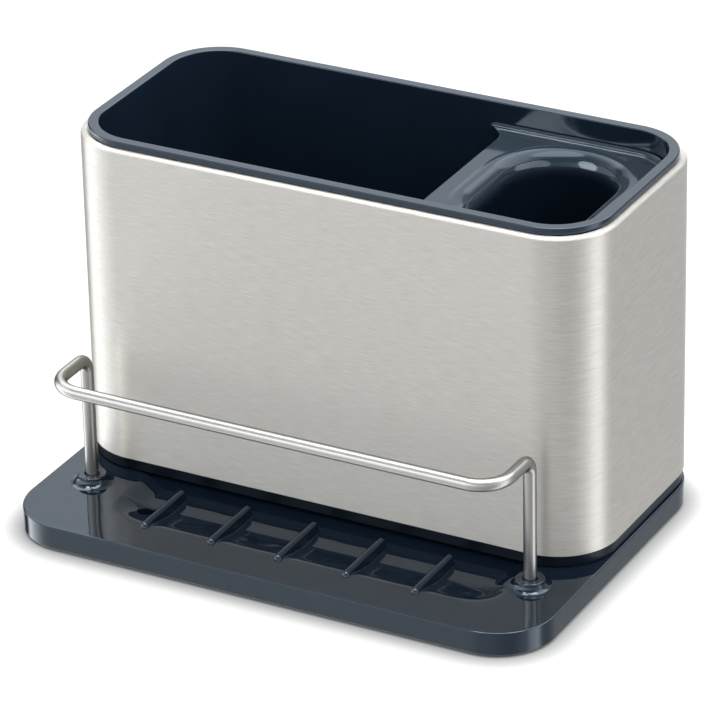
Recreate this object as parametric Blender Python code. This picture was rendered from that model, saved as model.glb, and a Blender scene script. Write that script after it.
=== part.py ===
"""Sink caddy: a moulded base tray with a wire rail, and a steel sleeve that holds a liner and a brush cup.

Metres, +Z up. The origin is on the counter under the middle of the tray. The front faces -Y.
"""

import math

import bmesh
import bpy

# Seating and lift-out clearances, and how far a shape runs into or past the one that it joins or cuts
GAP = 0.0003
LOOSE_FIT = 0.0005
OVERRUN = 0.0006
LEAST_CORNER = 0.0003

# Base tray
TRAY_WIDTH = 0.205
SHELF_DEPTH = 0.0486
TRAY_WALL_HEIGHT = 0.0086
TRAY_FRONT_RADIUS = 0.0215
TRAY_BACK_CORNER_EASE = 0.0015
TRAY_EDGE_ROUND = 0.0004
RECESS_DEPTH = 0.0036
RECESS_WALL = 0.0024

# Gutter sunk in the front shelf, with a long ramp in front and short ones at its ends
GUTTER_DEPTH = 0.0017
GUTTER_END_MARGIN = 0.033
GUTTER_FRONT_MARGIN = 0.0297
GUTTER_FRONT_RAMP = 0.0133
GUTTER_END_RAMP = 0.005
GUTTER_RADIUS = 0.008

# Plinth and island that the steel sleeve stands on and round
PLINTH_HEIGHT = 0.0024
PLINTH_FRONT_STEP = 0.0018
PLINTH_SIDE_INSET = 0.0012
PLINTH_EDGE_ROUND = 0.0012
ISLAND_HEIGHT = 0.0037

# Drying ribs on the front shelf
RIB_COUNT = 5
RIB_WIDTH = 0.003
RIB_RISE = 0.0015
RIB_POST_GAP = 0.0333
RIB_FRONT_MARGIN = 0.0138
RIB_BACK_MARGIN = 0.0063
DRAIN_RADIUS = 0.003
DRAIN_RIB_GAP = 0.0023
DRAIN_FROM_RIB_FRONT = 0.0137

# Wire rail and its two bosses
WIRE_DIAMETER = 0.0046
POST_EDGE_DISTANCE = 0.0164
POST_STANDOFF = 0.0128
RAIL_HEIGHT = 0.0585
RAIL_FRONT_SETBACK = 0.0106
TOP_BEND_RADIUS = 0.005
PLAN_BEND_RADIUS = 0.011
BOSS_WALL = 0.0024
BOSS_FLARE = 0.0025
BOSS_RISE = 0.0033
BOSS_MOUTH_FLARE = 0.0006
SOCKET_FLOOR = 0.003
BOSS_UNDERSIDE_DROP = 0.0024

# Feet
FOOT_RADIUS = 0.006
FOOT_THICKNESS = 0.0015
FOOT_PROUD = 0.001
FOOT_SEAT_RADIUS = 0.0085
FOOT_CORNER_INSET = 0.0165
FOOT_EDGE_ROUND = 0.0003

# Steel sleeve
SLEEVE_SIDE_MARGIN = 0.0005
SLEEVE_BACK_MARGIN = 0.0005
SLEEVE_DEPTH = 0.0946
SLEEVE_HEIGHT = 0.1194
SLEEVE_RADIUS = 0.0225
SHEET = 0.0006
LIP_WIDTH = 0.0035
LIP_ROUND = 0.0013
LIP_TURN_DOWN = 0.003

# Plastic ring pressed into the foot of the sleeve
RING_THICKNESS = 0.0025
RING_HEIGHT = 0.0095
RING_LEDGE_HEIGHT = 0.0014
RING_LEDGE_INSET = 0.0005

# Liner that hangs from the sleeve's lip
RIM_INSET = 0.0022
RIM_THICKNESS = 0.0024
RIM_CORNER_EASE = 0.0012
RIM_EDGE_ROUND = 0.0004
LINER_WALL = 0.002
LINER_DRAFT = 0.0021
LINER_FLOOR_CLEARANCE = 0.0013
LINER_FLOOR_ROUND = 0.003

# Brush cup that stands in the liner's right end
CUP_DROP = 0.0082
CUP_UPSTAND_HEIGHT = 0.0025
CUP_UPSTAND_THICKNESS = 0.0014
CUP_LEDGE_THICKNESS = 0.0018
CUP_EAR = 0.006
CUP_EAR_TIP = 0.0012
CUP_MOUTH_END_MARGIN = 0.0036
CUP_MOUTH_SIDE_MARGIN = 0.0081
CUP_MOUTH_LEFT_MARGIN = 0.0091
CUP_MOUTH_ROUND = 0.0044
CUP_COLLAR_RISE = 0.0009
CUP_COLLAR_WIDTH = 0.0022
CUP_MOUTH_RADIUS = 0.025
CUP_WALL = 0.0016
CUP_FLOOR_ROUND = 0.003

# Steps in a quarter circle
CORNER_STEPS = 8
SMALL_STEPS = 4
LATHE_STEPS = 20
WIRE_BEND_STEPS = 7

# Heights from the counter
tray_bottom = FOOT_PROUD
tray_top = tray_bottom + TRAY_WALL_HEIGHT
recess_top = tray_bottom + RECESS_DEPTH
gutter_floor = tray_top - GUTTER_DEPTH
plinth_top = tray_top + PLINTH_HEIGHT
island_top = plinth_top + ISLAND_HEIGHT
ring_bottom = plinth_top + GAP
sleeve_bottom = ring_bottom + RING_LEDGE_HEIGHT + GAP
sleeve_top = sleeve_bottom + SLEEVE_HEIGHT
rim_bottom = sleeve_top + GAP
rim_top = rim_bottom + RIM_THICKNESS
liner_bottom = island_top + LINER_FLOOR_CLEARANCE
liner_floor = liner_bottom + LINER_WALL
cup_top = rim_top - CUP_DROP
cup_ledge = cup_top - CUP_UPSTAND_HEIGHT

# Places and sizes in plan
tray_depth = SHELF_DEPTH + SLEEVE_DEPTH + SLEEVE_BACK_MARGIN
half_width = TRAY_WIDTH / 2
tray_front = -tray_depth / 2
tray_back = tray_depth / 2
tray_back_radius = SLEEVE_RADIUS + TRAY_BACK_CORNER_EASE
sleeve_half = half_width - SLEEVE_SIDE_MARGIN
sleeve_back = tray_back - SLEEVE_BACK_MARGIN
sleeve_front = sleeve_back - SLEEVE_DEPTH
post_x = half_width - POST_EDGE_DISTANCE
post_y = sleeve_front - POST_STANDOFF
rail_y = tray_front + RAIL_FRONT_SETBACK
rib_front = tray_front + RIB_FRONT_MARGIN
rib_back = sleeve_front - RIB_BACK_MARGIN
rib_pitch = 2 * (post_x - RIB_POST_GAP) / (RIB_COUNT - 1)
boss_radius = WIRE_DIAMETER / 2 + GAP + BOSS_WALL
ring_outset = SHEET + GAP
island_inset = ring_outset + RING_THICKNESS + LOOSE_FIT
rim_radius = SLEEVE_RADIUS - RIM_INSET + RIM_CORNER_EASE
liner_neck = LIP_WIDTH + LOOSE_FIT - RIM_INSET
rim_width = liner_neck + LINER_WALL
cup_ledge_width = CUP_MOUTH_SIDE_MARGIN + 2 * CUP_MOUTH_RADIUS + CUP_MOUTH_LEFT_MARGIN


def clear_scene():
    for item in list(bpy.data.objects):
        bpy.data.objects.remove(item, do_unlink=True)


def material(name, colour, roughness, metallic=0.0):
    finish = bpy.data.materials.new(name)
    finish.use_nodes = True
    shader = finish.node_tree.nodes["Principled BSDF"]
    shader.inputs["Base Color"].default_value = (*colour, 1.0)
    shader.inputs["Roughness"].default_value = roughness
    shader.inputs["Metallic"].default_value = metallic
    finish.diffuse_color = (*colour, 1.0)
    return finish


def arc(centre, radius, start, end, steps):
    """Points on a circle in plan, from one angle to another in degrees."""
    points = []
    for step in range(steps + 1):
        angle = math.radians(start + (end - start) * step / steps)
        points.append((centre[0] + radius * math.cos(angle), centre[1] + radius * math.sin(angle)))
    return points


def outline(box, front_radius, back_radius, inset=0.0, steps=CORNER_STEPS):
    """A rounded rectangle in plan, counterclockwise. box is (left, right, front, back).

    A corner's radius is never more than half the narrower side.
    """
    left, right, front, back = (box[0] + inset, box[1] - inset, box[2] + inset, box[3] - inset)
    most = min(right - left, back - front) / 2 - LEAST_CORNER / 10
    near = min(max(front_radius - inset, LEAST_CORNER), most)
    far = min(max(back_radius - inset, LEAST_CORNER), most)
    points = arc((left + near, front + near), near, 180, 270, steps)
    points += arc((right - near, front + near), near, 270, 360, steps)
    points += arc((right - far, back - far), far, 0, 90, steps)
    points += arc((left + far, back - far), far, 90, 180, steps)
    return points


def ring(points, height):
    return [(x, y, height) for x, y in points]


def circle(centre, radius, height, steps=LATHE_STEPS):
    return ring(arc(centre, radius, 0, 360, steps)[:-1], height)


def loft(mesh, rings, wrap=False):
    """Joins rings of equal length with quads. The ends are capped, or joined to each other if wrap is set."""
    loops = [[mesh.verts.new(point) for point in points] for points in rings]
    pairs = list(zip(loops, loops[1:]))
    if wrap:
        pairs.append((loops[-1], loops[0]))
    for lower, upper in pairs:
        for index in range(len(lower)):
            after = (index + 1) % len(lower)
            mesh.faces.new((lower[index], lower[after], upper[after], upper[index]))
    if not wrap:
        mesh.faces.new(list(reversed(loops[0])))
        mesh.faces.new(loops[-1])


def solid(name, stacks, finish=None, wrap=False):
    """One object made of the lofted stacks of rings."""
    mesh = bmesh.new()
    for rings in stacks:
        loft(mesh, rings, wrap)
    data = bpy.data.meshes.new(name)
    mesh.to_mesh(data)
    mesh.free()
    item = bpy.data.objects.new(name, data)
    bpy.context.scene.collection.objects.link(item)
    if finish:
        data.materials.append(finish)
        data.shade_smooth()
        data.set_sharp_from_angle(angle=math.radians(32))
    return item


def stack(box, front_radius, back_radius, profile):
    """Rings of a rounded rectangle, one for each (inset, height) of the profile."""
    return [ring(outline(box, front_radius, back_radius, inset), height) for inset, height in profile]


def combine(target, operation, tool):
    """Joins a tool to the target or cuts it away, and hides the tool."""
    modifier = target.modifiers.new(tool.name, "BOOLEAN")
    modifier.operation = operation
    modifier.object = tool
    tool.hide_render = True
    tool.display_type = "WIRE"


def rib_places():
    first = -rib_pitch * (RIB_COUNT - 1) / 2
    return [first + rib_pitch * index for index in range(RIB_COUNT)]


def foot_places():
    across = half_width - FOOT_CORNER_INSET
    along = tray_depth / 2 - FOOT_CORNER_INSET
    return {
        "foot_front_left": (-across, -along),
        "foot_front_right": (across, -along),
        "foot_back_left": (-across, along),
        "foot_back_right": (across, along),
    }


def boss_profile():
    """(radius, height) up the flared outside of a rail boss."""
    shoulder = BOSS_MOUTH_FLARE
    return [
        (boss_radius, recess_top - BOSS_UNDERSIDE_DROP),
        (boss_radius, gutter_floor),
        (boss_radius + BOSS_FLARE, gutter_floor),
        (boss_radius + BOSS_FLARE, tray_top + GAP / 2),
        (boss_radius + BOSS_FLARE * 0.5, tray_top + BOSS_RISE * 0.16),
        (boss_radius + BOSS_FLARE * 0.2, tray_top + BOSS_RISE * 0.4),
        (boss_radius, tray_top + BOSS_RISE * 0.75),
        (boss_radius - shoulder * 0.3, tray_top + BOSS_RISE - shoulder * 0.4),
        (boss_radius - shoulder, tray_top + BOSS_RISE),
    ]


def gutter():
    """Cutter for the sunk floor between the bosses. It runs back under the plinth."""
    above = (GUTTER_DEPTH + OVERRUN) / GUTTER_DEPTH
    rings = []
    for share, height in ((0, gutter_floor), (above, tray_top + OVERRUN)):
        end = half_width - GUTTER_END_MARGIN + GUTTER_END_RAMP * share
        front = tray_front + GUTTER_FRONT_MARGIN - GUTTER_FRONT_RAMP * share
        radius = GUTTER_RADIUS + GUTTER_END_RAMP * share
        plan = (-end, end, front, sleeve_front + SLEEVE_DEPTH / 4)
        rings.append(ring(outline(plan, radius, GUTTER_RADIUS), height))
    return solid("gutter_cutter", [rings])


def base_tray(finish):
    """The moulded tray: skirt, shelf with its gutter, plinth and island, ribs, rail bosses and foot seats."""
    plan = (-half_width, half_width, tray_front, tray_back)
    edge = TRAY_EDGE_ROUND
    slab_profile = [(edge, tray_bottom), (0, tray_bottom + edge), (0, tray_top - edge), (edge, tray_top)]
    tray = solid("base_tray", [stack(plan, TRAY_FRONT_RADIUS, tray_back_radius, slab_profile)], finish)

    recess_profile = [(RECESS_WALL, tray_bottom - OVERRUN), (RECESS_WALL, recess_top)]
    recess = solid("recess_cutter", [stack(plan, TRAY_FRONT_RADIUS, tray_back_radius, recess_profile)])
    combine(tray, "DIFFERENCE", recess)

    combine(tray, "DIFFERENCE", gutter())
    combine(tray, "UNION", plinth())
    combine(tray, "UNION", ribs())

    bosses = []
    sockets = []
    seats = []
    socket_radius = WIRE_DIAMETER / 2 + GAP
    socket_bottom = tray_bottom + SOCKET_FLOOR
    top = tray_top + BOSS_RISE
    for side in (-1, 1):
        centre = (side * post_x, post_y)
        bosses.append([circle(centre, radius, height) for radius, height in boss_profile()])
        mouth = BOSS_MOUTH_FLARE
        sockets.append([
            circle(centre, socket_radius, socket_bottom),
            circle(centre, socket_radius, top - mouth * 2),
            circle(centre, socket_radius + mouth, top - mouth * 0.3),
            circle(centre, socket_radius + mouth, top + mouth * 2),
        ])
    combine(tray, "UNION", solid("boss_tool", bosses))

    seat_bottom = FOOT_THICKNESS + GAP
    for centre in foot_places().values():
        heights = (seat_bottom, recess_top + OVERRUN)
        seats.append([circle(centre, FOOT_SEAT_RADIUS, height) for height in heights])
    combine(tray, "UNION", solid("seat_tool", seats))
    combine(tray, "DIFFERENCE", solid("socket_cutter", sockets))

    drain_x = rib_places()[0] - RIB_WIDTH / 2 - DRAIN_RIB_GAP - DRAIN_RADIUS
    centre = (drain_x, rib_front + DRAIN_FROM_RIB_FRONT)
    drain = [circle(centre, DRAIN_RADIUS, height, 16) for height in (tray_bottom, tray_top)]
    combine(tray, "DIFFERENCE", solid("drain_cutter", [drain]))
    return tray


def plinth():
    """The step round the sleeve's foot, with the island that locates the sleeve's ring."""
    plan = (
        -sleeve_half + PLINTH_SIDE_INSET,
        sleeve_half - PLINTH_SIDE_INSET,
        sleeve_front - PLINTH_FRONT_STEP,
        sleeve_back - PLINTH_SIDE_INSET,
    )
    island_plan = (
        -sleeve_half + island_inset,
        sleeve_half - island_inset,
        sleeve_front + island_inset,
        sleeve_back - island_inset,
    )
    island_radius = SLEEVE_RADIUS - island_inset
    edge = PLINTH_EDGE_ROUND
    lower = [
        (0, recess_top + OVERRUN),
        (0, plinth_top - edge),
        (edge * 0.3, plinth_top - edge * 0.3),
        (edge, plinth_top),
    ]
    rings = stack(plan, SLEEVE_RADIUS, SLEEVE_RADIUS, lower)
    upper = [(0, plinth_top), (0, island_top - edge / 2), (edge / 2, island_top)]
    rings += stack(island_plan, island_radius, island_radius, upper)
    return solid("plinth_tool", [rings])


def ribs():
    """Five narrow round-ended bars that run front to back on the shelf."""
    top = tray_top + RIB_RISE
    bars = []
    for x in rib_places():
        plan = (x - RIB_WIDTH / 2, x + RIB_WIDTH / 2, rib_front, rib_back)
        radius = RIB_WIDTH / 2
        rings = []
        for inset, height in (
            (0, recess_top + OVERRUN * 2),
            (0, top - radius * 0.8),
            (radius * 0.25, top - radius * 0.3),
            (radius * 0.7, top),
        ):
            rings.append(ring(outline(plan, radius, radius, inset, SMALL_STEPS), height))
        bars.append(rings)
    return solid("rib_tool", bars)


def feet(finish):
    """Four soft round pads under the corners of the tray."""
    edge = FOOT_EDGE_ROUND
    profile = ((FOOT_RADIUS - edge, 0), (FOOT_RADIUS, edge), (FOOT_RADIUS, FOOT_THICKNESS))
    for name, centre in foot_places().items():
        solid(name, [[circle(centre, radius, height) for radius, height in profile]], finish)


def bend(corner, before, after, radius, steps):
    """Points of the arc that rounds a corner between two unit directions at right angles."""
    points = []
    for step in range(steps + 1):
        angle = math.pi / 2 * step / steps
        back = radius * (1 - math.sin(angle))
        ahead = radius * (1 - math.cos(angle))
        points.append(tuple(c - b * back + a * ahead for c, b, a in zip(corner, before, after)))
    return points


def wire_route():
    """Centre line of the rail, from the foot of the left post to the foot of the right post."""
    foot = tray_bottom + SOCKET_FLOOR + GAP
    up, forward, right = (0, 0, 1), (0, -1, 0), (1, 0, 0)
    half = [(-post_x, post_y, foot), (-post_x, post_y, tray_top)]
    half += bend((-post_x, post_y, RAIL_HEIGHT), up, forward, TOP_BEND_RADIUS, WIRE_BEND_STEPS)
    half += bend((-post_x, rail_y, RAIL_HEIGHT), forward, right, PLAN_BEND_RADIUS, WIRE_BEND_STEPS)
    mirrored = [(-x, y, z) for x, y, z in reversed(half)]
    return half + mirrored


def wire_rail(finish):
    """One bent steel wire whose two posts stand in the tray's bosses."""
    curve = bpy.data.curves.new("wire_rail", "CURVE")
    curve.dimensions = "3D"
    curve.bevel_depth = WIRE_DIAMETER / 2
    curve.bevel_resolution = 4
    curve.use_fill_caps = True
    route = wire_route()
    spline = curve.splines.new("POLY")
    spline.points.add(len(route) - 1)
    for point, place in zip(spline.points, route):
        point.co = (*place, 1.0)
    curve.materials.append(finish)
    rail = bpy.data.objects.new("wire_rail", curve)
    bpy.context.scene.collection.objects.link(rail)
    return rail


def sleeve_plan():
    return (-sleeve_half, sleeve_half, sleeve_front, sleeve_back)


def steel_sleeve(finish):
    """Sheet steel wall, open above and below, with its top edge rolled in and turned down."""
    shoulder = LIP_ROUND * (1 - math.sqrt(0.5))
    inner_round = LIP_ROUND - SHEET
    inner_shoulder = SHEET + inner_round * (1 - math.sqrt(0.5))
    turn = SHEET
    profile = [
        (0, sleeve_bottom),
        (0, sleeve_top - LIP_ROUND),
        (shoulder, sleeve_top - shoulder),
        (LIP_ROUND, sleeve_top),
        (LIP_WIDTH - turn, sleeve_top),
        (LIP_WIDTH, sleeve_top - turn),
        (LIP_WIDTH, sleeve_top - LIP_TURN_DOWN),
        (LIP_WIDTH - SHEET, sleeve_top - LIP_TURN_DOWN),
        (LIP_WIDTH - SHEET, sleeve_top - SHEET),
        (LIP_ROUND, sleeve_top - SHEET),
        (inner_shoulder, sleeve_top - inner_shoulder),
        (SHEET, sleeve_top - LIP_ROUND),
        (SHEET, sleeve_bottom),
    ]
    rings = stack(sleeve_plan(), SLEEVE_RADIUS, SLEEVE_RADIUS, profile)
    return solid("steel_sleeve", [rings], finish, wrap=True)


def sleeve_ring(finish):
    """Plastic ring inside the sleeve's foot. Its ledge carries the steel edge above the plinth."""
    profile = [
        (RING_LEDGE_INSET, ring_bottom),
        (RING_LEDGE_INSET, ring_bottom + RING_LEDGE_HEIGHT),
        (ring_outset, ring_bottom + RING_LEDGE_HEIGHT),
        (ring_outset, ring_bottom + RING_HEIGHT),
        (ring_outset + RING_THICKNESS, ring_bottom + RING_HEIGHT),
        (ring_outset + RING_THICKNESS, ring_bottom),
    ]
    rings = stack(sleeve_plan(), SLEEVE_RADIUS, SLEEVE_RADIUS, profile)
    return solid("sleeve_base_ring", [rings], finish, wrap=True)


def rim_plan():
    return (
        -sleeve_half + RIM_INSET,
        sleeve_half - RIM_INSET,
        sleeve_front + RIM_INSET,
        sleeve_back - RIM_INSET,
    )


def liner_inset(height):
    """How far the liner's inner wall stands in from its rim's outer edge at a height."""
    share = (rim_top - height) / (rim_top - liner_floor)
    return rim_width + LINER_DRAFT * share


def caddy_liner(finish):
    """Plastic bin with a flat rim that rests on the steel lip."""
    edge = RIM_EDGE_ROUND
    floor_round = LINER_FLOOR_ROUND
    inner_foot = liner_inset(liner_floor + floor_round)
    outer_foot = liner_neck + LINER_DRAFT
    profile = [
        (outer_foot + floor_round, liner_bottom),
        (outer_foot + floor_round * 0.3, liner_bottom + floor_round * 0.3),
        (outer_foot, liner_bottom + floor_round),
        (liner_neck, rim_bottom),
        (0, rim_bottom),
        (0, rim_top - edge),
        (edge, rim_top),
        (rim_width - edge, rim_top),
        (rim_width, rim_top - edge),
        (inner_foot, liner_floor + floor_round),
        (inner_foot + floor_round * 0.3, liner_floor + floor_round * 0.3),
        (inner_foot + floor_round, liner_floor),
    ]
    return solid("caddy_liner", [stack(rim_plan(), rim_radius, rim_radius, profile)], finish)


def cup_box():
    """Plan of the cup's ledge: the liner's right end, less a running clearance."""
    left, right, front, back = rim_plan()
    clear = liner_inset(cup_ledge - CUP_LEDGE_THICKNESS) + LOOSE_FIT
    right -= clear
    return (right - cup_ledge_width, right, front + clear, back - clear), rim_radius - clear


def cup_ledge_outline(inset=0.0, reach=0.0):
    """The ledge in plan, with an ear at each left corner. reach draws the left edge out past the ears."""
    (left, right, front, back), radius = cup_box()
    right -= inset
    front += inset
    back -= inset
    radius -= inset
    points = arc((right - radius, front + radius), radius, 270, 360, CORNER_STEPS)
    points += arc((right - radius, back - radius), radius, 0, 90, CORNER_STEPS)
    if reach:
        return points + [(left - reach, back), (left - reach, front)]
    tip = left - CUP_EAR
    low = front + CUP_EAR_TIP
    high = back - CUP_EAR_TIP
    points.append((tip, back))
    points += arc((tip, high - CUP_EAR), CUP_EAR, 90, 0, SMALL_STEPS)
    points += arc((tip, low + CUP_EAR), CUP_EAR, 0, -90, SMALL_STEPS)
    points.append((tip, front))
    return points


def ear_cutter():
    """A round bar across the cup that thins the underside of both ears towards their tips."""
    (left, _, front, back), _ = cup_box()
    centre = (left - CUP_EAR, cup_top - CUP_EAR_TIP - CUP_EAR)
    rings = []
    for y in (back + CUP_EAR, front - CUP_EAR):
        rings.append([(x, y, z) for x, z in arc(centre, CUP_EAR - GAP, 0, 360, LATHE_STEPS)[:-1]])
    return solid("ear_cutter", [rings])


def cup_mouth():
    """(left, right, front, back) of the mouth's lead-in on the ledge."""
    (left, right, front, back), _ = cup_box()
    ends = CUP_MOUTH_END_MARGIN
    mouth_right = right - CUP_MOUTH_SIDE_MARGIN
    return (mouth_right - 2 * CUP_MOUTH_RADIUS, mouth_right, front + ends, back - ends)


def brush_cup(finish):
    """A long pot with a ledge that closes the liner's right end, and an upstand round three sides."""
    low = cup_ledge - CUP_LEDGE_THICKNESS
    floor = liner_floor + GAP
    flange = [ring(cup_ledge_outline(), height) for height in (low, cup_top)]
    cup = solid("brush_cup", [flange], finish)

    pocket = cup_ledge_outline(CUP_UPSTAND_THICKNESS, CUP_EAR * 2)
    heights = (cup_ledge, cup_top + CUP_UPSTAND_HEIGHT)
    combine(cup, "DIFFERENCE", solid("pocket_cutter", [[ring(pocket, height) for height in heights]]))

    combine(cup, "DIFFERENCE", ear_cutter())

    mouth = cup_mouth()
    radius = CUP_MOUTH_RADIUS
    deep = CUP_MOUTH_ROUND
    collar_top = cup_ledge + CUP_COLLAR_RISE
    foot = CUP_FLOOR_ROUND
    outer = [
        (deep - CUP_WALL + foot, floor),
        (deep - CUP_WALL + foot * 0.3, floor + foot * 0.3),
        (deep - CUP_WALL, floor + foot),
        (deep - CUP_WALL, cup_ledge - OVERRUN),
        (-CUP_COLLAR_WIDTH, cup_ledge - OVERRUN),
        (-CUP_COLLAR_WIDTH, cup_ledge + GAP / 2),
        (-CUP_COLLAR_WIDTH / 2, cup_ledge + CUP_COLLAR_RISE * 0.7),
        (0, collar_top),
    ]
    combine(cup, "UNION", solid("well_tool", [stack(mouth, radius, radius, outer)]))

    inner_floor = floor + CUP_WALL
    hollow = [
        (deep + foot, inner_floor),
        (deep + foot * 0.3, inner_floor + foot * 0.3),
        (deep, inner_floor + foot),
    ]
    for step in range(SMALL_STEPS + 1):
        angle = math.pi / 2 * step / SMALL_STEPS
        hollow.append((deep * math.cos(angle), collar_top - deep * (1 - math.sin(angle)) + GAP / 3))
    hollow[-1] = (GAP, collar_top)
    hollow.append((GAP, cup_top + CUP_UPSTAND_HEIGHT))
    combine(cup, "DIFFERENCE", solid("hollow_cutter", [stack(mouth, radius, radius, hollow)]))
    return cup


def main():
    clear_scene()
    tray_plastic = material("tray_plastic", (0.035, 0.048, 0.062), 0.18)
    liner_plastic = material("liner_plastic", (0.03, 0.04, 0.054), 0.3)
    cup_plastic = material("cup_plastic", (0.032, 0.044, 0.058), 0.25)
    ring_plastic = material("ring_plastic", (0.01, 0.012, 0.015), 0.5)
    foot_rubber = material("foot_rubber", (0.012, 0.012, 0.013), 0.8)
    brushed_steel = material("brushed_steel", (0.6, 0.58, 0.55), 0.34, 1.0)
    satin_wire = material("satin_wire", (0.58, 0.55, 0.51), 0.28, 1.0)
    base_tray(tray_plastic)
    feet(foot_rubber)
    wire_rail(satin_wire)
    steel_sleeve(brushed_steel)
    sleeve_ring(ring_plastic)
    caddy_liner(liner_plastic)
    brush_cup(cup_plastic)


main()
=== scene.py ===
"""Looks of the sink caddy: steel sleeve, dark moulded tray, liner and brush cup, and a bent wire rail."""

import math

import bmesh
import bpy
import numpy as np
from mathutils import Matrix, Vector
from mathutils.geometry import delaunay_2d_cdt


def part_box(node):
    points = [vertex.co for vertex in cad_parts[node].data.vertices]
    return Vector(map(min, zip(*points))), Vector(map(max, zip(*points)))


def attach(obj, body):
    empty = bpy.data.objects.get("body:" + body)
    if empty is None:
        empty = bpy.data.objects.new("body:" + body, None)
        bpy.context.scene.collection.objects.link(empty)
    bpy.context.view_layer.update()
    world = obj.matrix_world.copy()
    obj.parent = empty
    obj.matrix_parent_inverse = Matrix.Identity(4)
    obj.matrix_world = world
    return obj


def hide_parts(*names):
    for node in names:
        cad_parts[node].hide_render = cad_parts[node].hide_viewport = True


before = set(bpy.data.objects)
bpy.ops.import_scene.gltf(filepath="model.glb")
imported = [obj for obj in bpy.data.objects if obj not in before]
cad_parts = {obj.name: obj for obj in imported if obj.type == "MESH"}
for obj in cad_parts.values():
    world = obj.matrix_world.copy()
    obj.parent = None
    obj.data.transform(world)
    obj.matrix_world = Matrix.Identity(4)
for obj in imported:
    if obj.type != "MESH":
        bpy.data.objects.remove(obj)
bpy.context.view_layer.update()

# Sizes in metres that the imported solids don't give by their corners
TRAY_WALL_HEIGHT = 0.0086
TRAY_FRONT_RADIUS = 0.0215
TRAY_BACK_RADIUS = 0.024
TRAY_TOP_EDGE = 0.0005
TRAY_BOTTOM_EDGE = 0.0004
RECESS_DEPTH = 0.0036
RECESS_WALL = 0.0024
GUTTER_DEPTH = 0.0027
GUTTER_FRONT_MARGIN = 0.0164
GUTTER_VALLEY_MARGIN = 0.032
GUTTER_RAMP_FALL = 0.11
GUTTER_BACK_FALL = 0.02
GUTTER_LEFT_MARGIN = 0.0305
GUTTER_RIGHT_MARGIN = 0.021
GUTTER_END_RAMP = 0.009
GUTTER_CORNER = 0.018
GUTTER_BOSS_RAMP = 0.005
ISLAND_INSET = 0.0039
ISLAND_EDGE = 0.0006
RIB_COUNT = 5
RIB_WIDTH = 0.003
RIB_RISE = 0.0015
RIB_FILLET = 0.0009
RIB_POST_GAP = 0.0333
RIB_FRONT_MARGIN = 0.0138
RIB_BACK_MARGIN = 0.0063
DRAIN_RADIUS = 0.003
DRAIN_RIB_GAP = 0.0023
DRAIN_FROM_RIB_FRONT = 0.0137
WIRE_DIAMETER = 0.0046
TOP_BEND_RADIUS = 0.005
PLAN_BEND_RADIUS = 0.011
BORE_RADIUS = 0.0026
BOSS_RADIUS = 0.0052
BOSS_FLARE = 0.003
BOSS_RISE = 0.0033
BOSS_EDGE = 0.0005
BOSS_UNDERSIDE_DROP = 0.0024
SOCKET_FLOOR = 0.003
UNDERSIDE_EDGE = 0.0003
UNDERSIDE_FILLET = 0.0005
FOOT_SEAT_RADIUS = 0.0085
FOOT_CORNER_INSET = 0.0165
PAD_THICKNESS = 0.0015
SLEEVE_RADIUS = 0.0225
SHEET = 0.0006
SMALLEST_RADIUS = 0.0003
LIP_WIDTH = 0.0034
LIP_ROUND = 0.001
LIP_TURN_ROUND = 0.0009
LIP_TURN_DOWN = 0.003
SHEET_CUT_ROUND = 0.00015
RING_THICKNESS = 0.0025
RING_LEDGE_HEIGHT = 0.0014
RING_LEDGE_INSET = 0.0005
RING_EDGE = 0.0003
RING_LEDGE_EDGE = 0.0002
RING_INNER_EDGE = 0.0005
SEAT_GAP = 0.0003
RIM_RADIUS = 0.0215
RIM_THICKNESS = 0.0024
RIM_WIDTH = 0.0038
RIM_NECK = 0.0018
RIM_EDGE = 0.0005
RIM_UNDER_EDGE = 0.0003
LINER_WALL = 0.002
LINER_DRAFT = 0.0021
LINER_FLOOR_ROUND = 0.003
CUP_CORNER_RADIUS = 0.017
CUP_EAR = 0.006
CUP_EAR_TIP = 0.0012
CUP_LIFT = 0.0008
CUP_UPSTAND_HEIGHT = 0.0021
CUP_UPSTAND_THICKNESS = 0.0014
CUP_LEDGE_THICKNESS = 0.0018
CUP_EDGE = 0.0004
CUP_CHAMFER = 0.0008
CUP_CHAMFER_SLOPE = 0.67
CUP_MOUTH_RADIUS = 0.0261
CUP_MOUTH_END_MARGIN = 0.0035
CUP_MOUTH_SIDE_MARGIN = 0.007
CUP_MOUTH_ROUND = 0.0065
CUP_MOUTH_FALL = 0.0068
CUP_MOUTH_SLACK = 0.00003
CUP_COLLAR_RISE = 0.0003
CUP_COLLAR_WIDTH = 0.0026
CUP_COLLAR_SLOPE = 0.0022
CUP_FILLET = 0.0009
CUP_UNDER_FILLET = 0.0006
CUP_WALL = 0.0016
CUP_FLOOR_ROUND = 0.003

# How finely the shapes are drawn
CORNER_STEPS = 24
FILLET_STEPS = 5
RIB_END_STEPS = 8
BEND_STEPS = 14
WIRE_SIDES = 28
WALL_SLOPE = 9.0
GRID_PITCH = 0.0016
LINE_PITCH = 0.0015
COLLAR_PITCH = 0.0008
SHARP_ANGLE = 38
NORMAL_WEIGHT = 80
SLOPE_STEP = 1e-5
WELD_DISTANCE = 1e-6
SAME_POINT = 1e-8
SLIVER_AREA = 1e-13
CREASE = 0.00001
FLOOR_MARGIN = 1.5  # The flat floors start this many roundings in from their walls
MOUTH_END = 0.985  # The share of the mouth's rounding at which its upright wall begins

# How far the even grid keeps from raised features
DRAIN_CLEARANCE = 0.001
BOSS_CLEARANCE = 0.0005
RIB_CLEARANCE = 0.0014
COLLAR_CLEARANCE = 0.0003

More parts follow.
